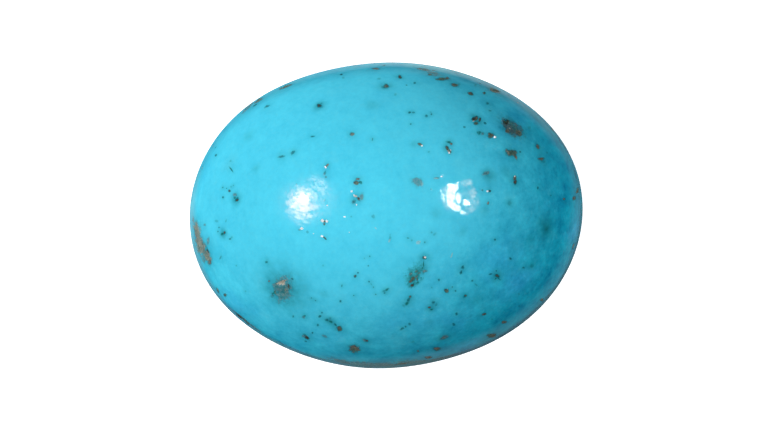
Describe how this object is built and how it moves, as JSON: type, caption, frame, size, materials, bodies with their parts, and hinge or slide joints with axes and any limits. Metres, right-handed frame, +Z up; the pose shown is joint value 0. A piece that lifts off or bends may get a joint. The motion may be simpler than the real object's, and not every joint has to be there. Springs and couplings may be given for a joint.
{
  "type": "polished turquoise cabochon",
  "caption": "Polished oval turquoise stone with a high rounded dome, a steep girdle wall, shallow matrix pits and a bevelled flat back.",
  "frame": {"origin": "middle of the stone's bounding box at its flat back, on the surface that it lies on", "axes": "+X along the stone's length, +Y across it, +Z up through the top of the dome"},
  "size_m": [0.018, 0.014, 0.0068],
  "materials": {
    "turquoise": "glossy hand polish over speckled sky-blue turquoise, with brown and dark green matrix specks"
  },
  "bodies": {
    "root": {"turquoise_stone": "turquoise"}
  },
  "joints": []
}
